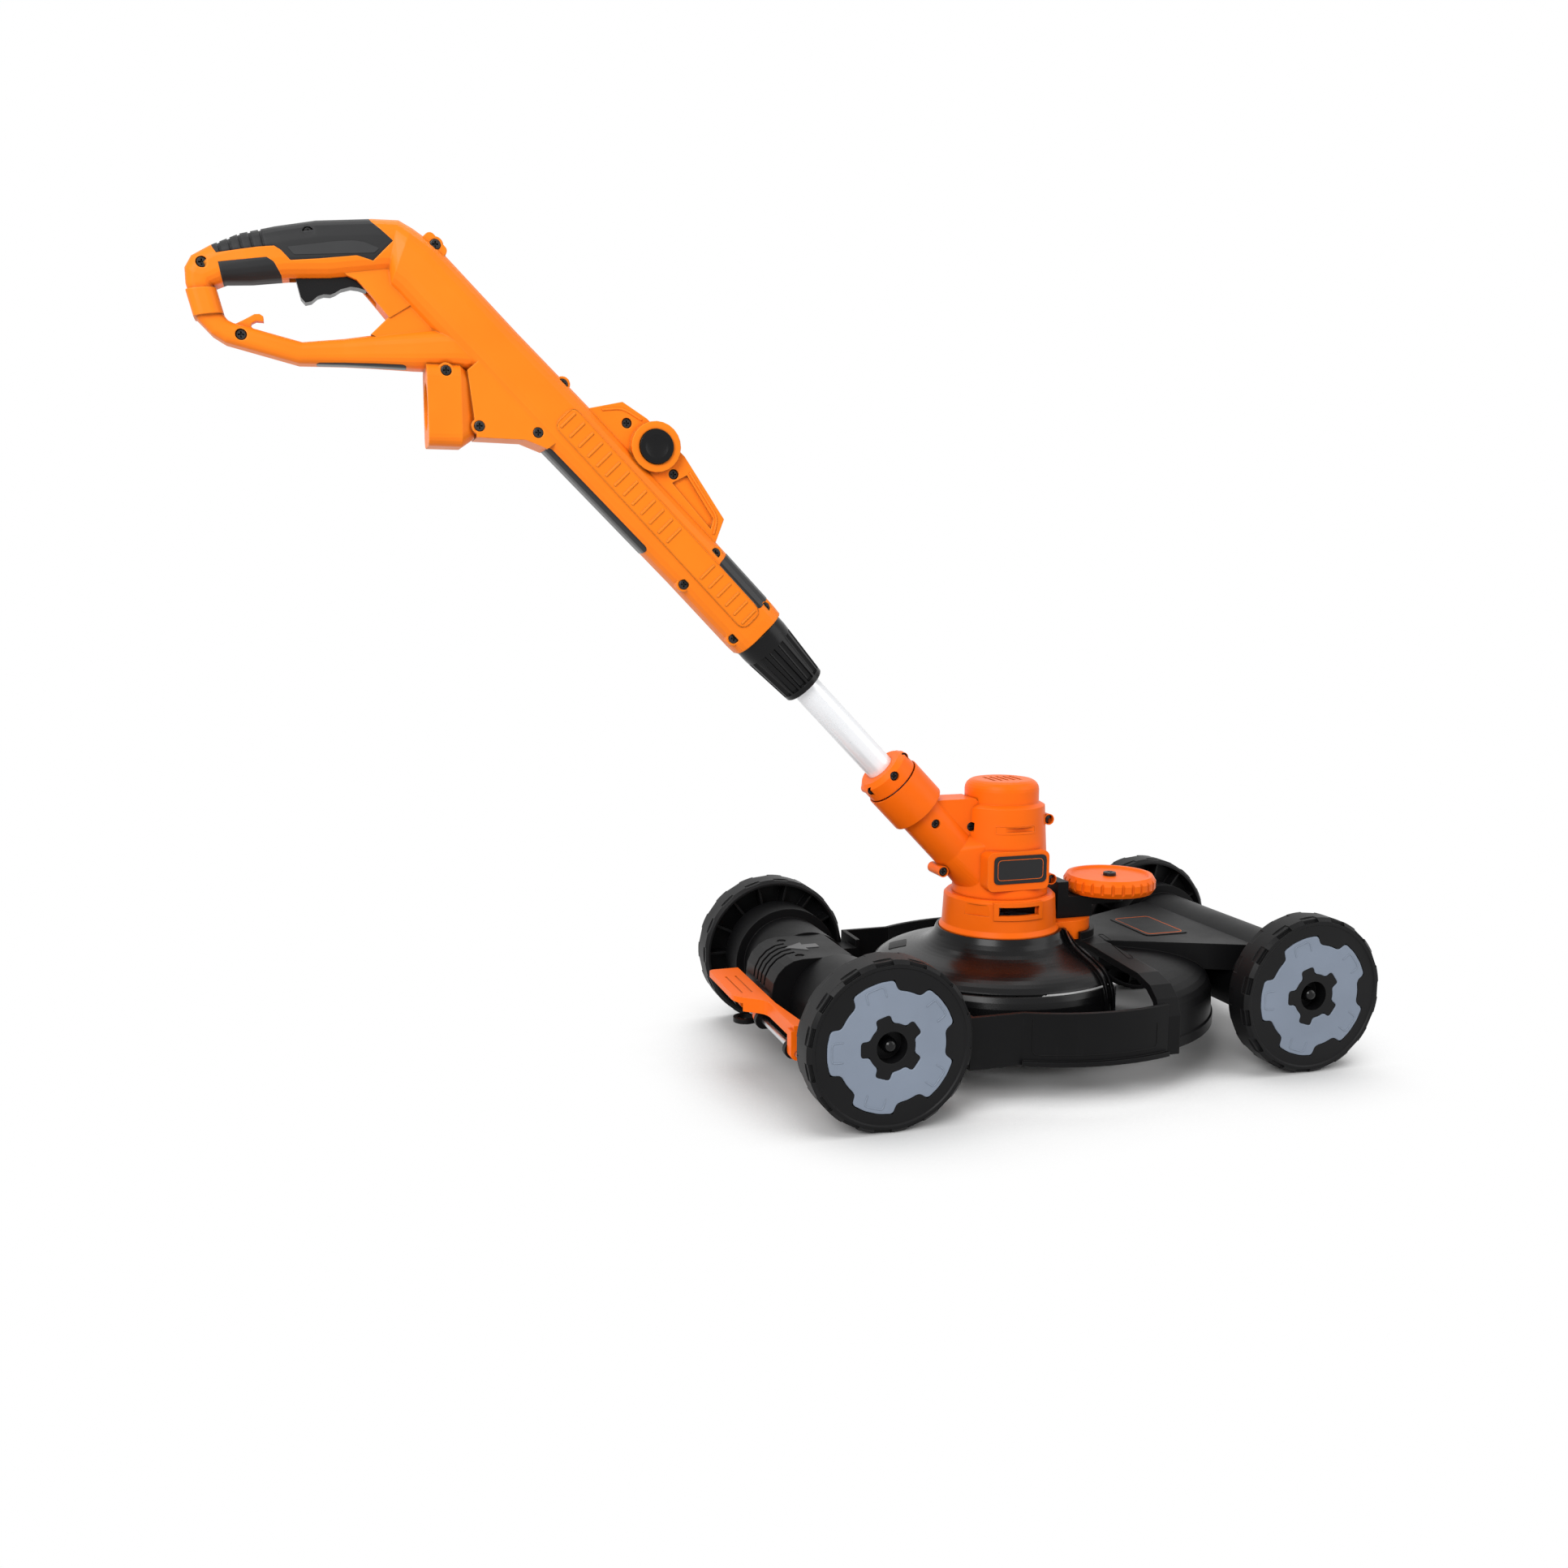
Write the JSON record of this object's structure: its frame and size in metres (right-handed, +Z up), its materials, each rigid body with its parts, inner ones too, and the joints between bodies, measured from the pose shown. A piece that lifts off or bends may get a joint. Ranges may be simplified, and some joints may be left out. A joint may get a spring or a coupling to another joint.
{
  "type": "wheeled string trimmer",
  "caption": "Corded electric string trimmer with telescoping shaft and loop handle, latched upright into a wheeled mowing deck with a foot release.",
  "frame": {"origin": "middle of the bounding box on the floor under the wheels", "axes": "X forward along the mowing direction, Y to the left along the axles, Z up"},
  "size_m": [0.968, 0.35, 0.6959],
  "materials": {
    "orange": "satin",
    "black": "fine grain",
    "guard": "gloss",
    "grip": "soft",
    "grey": "satin",
    "tube": "smooth",
    "steel": "plain",
    "screw": "blackened",
    "line": "smooth"
  },
  "bodies": {
    "deck": {"deck_shell": "black", "latch_housing": "black", "latch_screws": "screw", "rear_axle": "steel", "front_axle": "steel", "axle_caps": "black", "pedal_pin": "steel", "pedal_spring": "steel", "guard": "guard", "line_blade": "steel", "head_base": "orange", "motor_housing_right": "orange", "motor_housing_left": "orange", "head_screws": "screw", "motor_stator": "steel", "upper_bearing": "steel", "lower_bearing": "steel", "edge_bracket": "black", "edge_wheel_screw": "screw"},
    "rear_right": {"rear_right_wheel": "black", "rear_right_cover": "grey"},
    "rear_left": {"rear_left_wheel": "black", "rear_left_cover": "grey"},
    "front_right": {"front_right_wheel": "black", "front_right_cover": "grey"},
    "front_left": {"front_left_wheel": "black", "front_left_cover": "grey"},
    "pedal": {"foot_pedal": "orange"},
    "bolt": {"latch_bolt": "black"},
    "cutter": {"armature": "steel", "cooling_fan": "grey", "spool_housing": "black", "spool": "black", "spool_cap": "black", "cutting_line": "line"},
    "guide_wheel": {"edge_wheel": "orange"},
    "shaft": {"shaft_tube": "tube", "swivel_cap": "orange", "swivel_screws": "screw", "swivel_spring": "steel"},
    "sleeve": {"swivel_sleeve": "orange"},
    "handle": {"handle_housing_right": "orange", "handle_housing_left": "orange", "top_grip": "grip", "lower_grip": "grip", "handle_screws": "screw", "trigger_pin": "steel", "trigger_spring": "steel", "switch_block": "black", "inlet_socket": "black", "inlet_blades": "steel", "button_spring": "steel", "clamp_bush": "black"},
    "collar": {"lock_collar": "guard"},
    "trigger_lever": {"trigger": "black"},
    "button": {"release_button": "black"}
  },
  "joints": [
    {"name": "rear_right_spin", "type": "hinge", "parent": "deck", "child": "rear_right", "pos_m": [0.01, 0, 0.07], "axis": [0, 1, 0], "continuous": true},
    {"name": "rear_left_spin", "type": "hinge", "parent": "deck", "child": "rear_left", "pos_m": [0.01, 0, 0.07], "axis": [0, 1, 0], "continuous": true},
    {"name": "front_right_spin", "type": "hinge", "parent": "deck", "child": "front_right", "pos_m": [0.415, 0, 0.07], "axis": [0, 1, 0], "continuous": true},
    {"name": "front_left_spin", "type": "hinge", "parent": "deck", "child": "front_left", "pos_m": [0.415, 0, 0.07], "axis": [0, 1, 0], "continuous": true},
    {"name": "pedal_press", "type": "hinge", "parent": "deck", "child": "pedal", "pos_m": [-0.054, 0, 0.058], "axis": [0, -1, 0], "range_deg": [0, 15], "stiffness_Nm_per_rad": 1.5, "springref_deg": -5.73, "deforming": ["pedal_spring"]},
    {"name": "bolt_draw", "type": "slide", "parent": "deck", "child": "bolt", "axis": [-1, 0, 0], "range_m": [0, 0.0102]},
    {"name": "cutter_spin", "type": "hinge", "parent": "deck", "child": "cutter", "pos_m": [0.182, 0, 0.07], "axis": [0, 0, 1], "continuous": true},
    {"name": "guide_wheel_spin", "type": "hinge", "parent": "deck", "child": "guide_wheel", "pos_m": [0.296, 0, 0.149], "axis": [0, 0, 1], "continuous": true},
    {"name": "edging_swivel", "type": "hinge", "parent": "deck", "child": "shaft", "pos_m": [0.182, 0, 0.142], "axis": [-0.6909, 0, 0.723], "range_deg": [0, 180]},
    {"name": "sleeve_lift", "type": "slide", "parent": "shaft", "child": "sleeve", "axis": [-0.6909, 0, 0.723], "range_m": [0, 0.006], "stiffness_N_per_m": 900, "springref_m": -0.003, "deforming": ["swivel_spring"]},
    {"name": "telescope", "type": "slide", "parent": "shaft", "child": "handle", "axis": [-0.6909, 0, 0.723], "range_m": [0, 0.2]},
    {"name": "collar_twist", "type": "hinge", "parent": "handle", "child": "collar", "pos_m": [-0.02526, 0, 0.35889], "axis": [-0.6909, 0, 0.723], "range_deg": [0, 90]},
    {"name": "trigger_squeeze", "type": "hinge", "parent": "handle", "child": "trigger_lever", "pos_m": [-0.352, 0, 0.6594], "axis": [0, 1, 0], "range_deg": [0, 8], "stiffness_Nm_per_rad": 1.2, "springref_deg": -8.59, "deforming": ["trigger_spring"]},
    {"name": "button_press", "type": "slide", "parent": "handle", "child": "button", "axis": [0, 1, 0], "range_m": [0, 0.005], "stiffness_N_per_m": 700, "springref_m": -0.003, "deforming": ["button_spring"]}
  ],
  "couplings": [
    {"joint": "bolt_draw", "follows": "pedal_press", "m_per_rad": 0.0385}
  ]
}
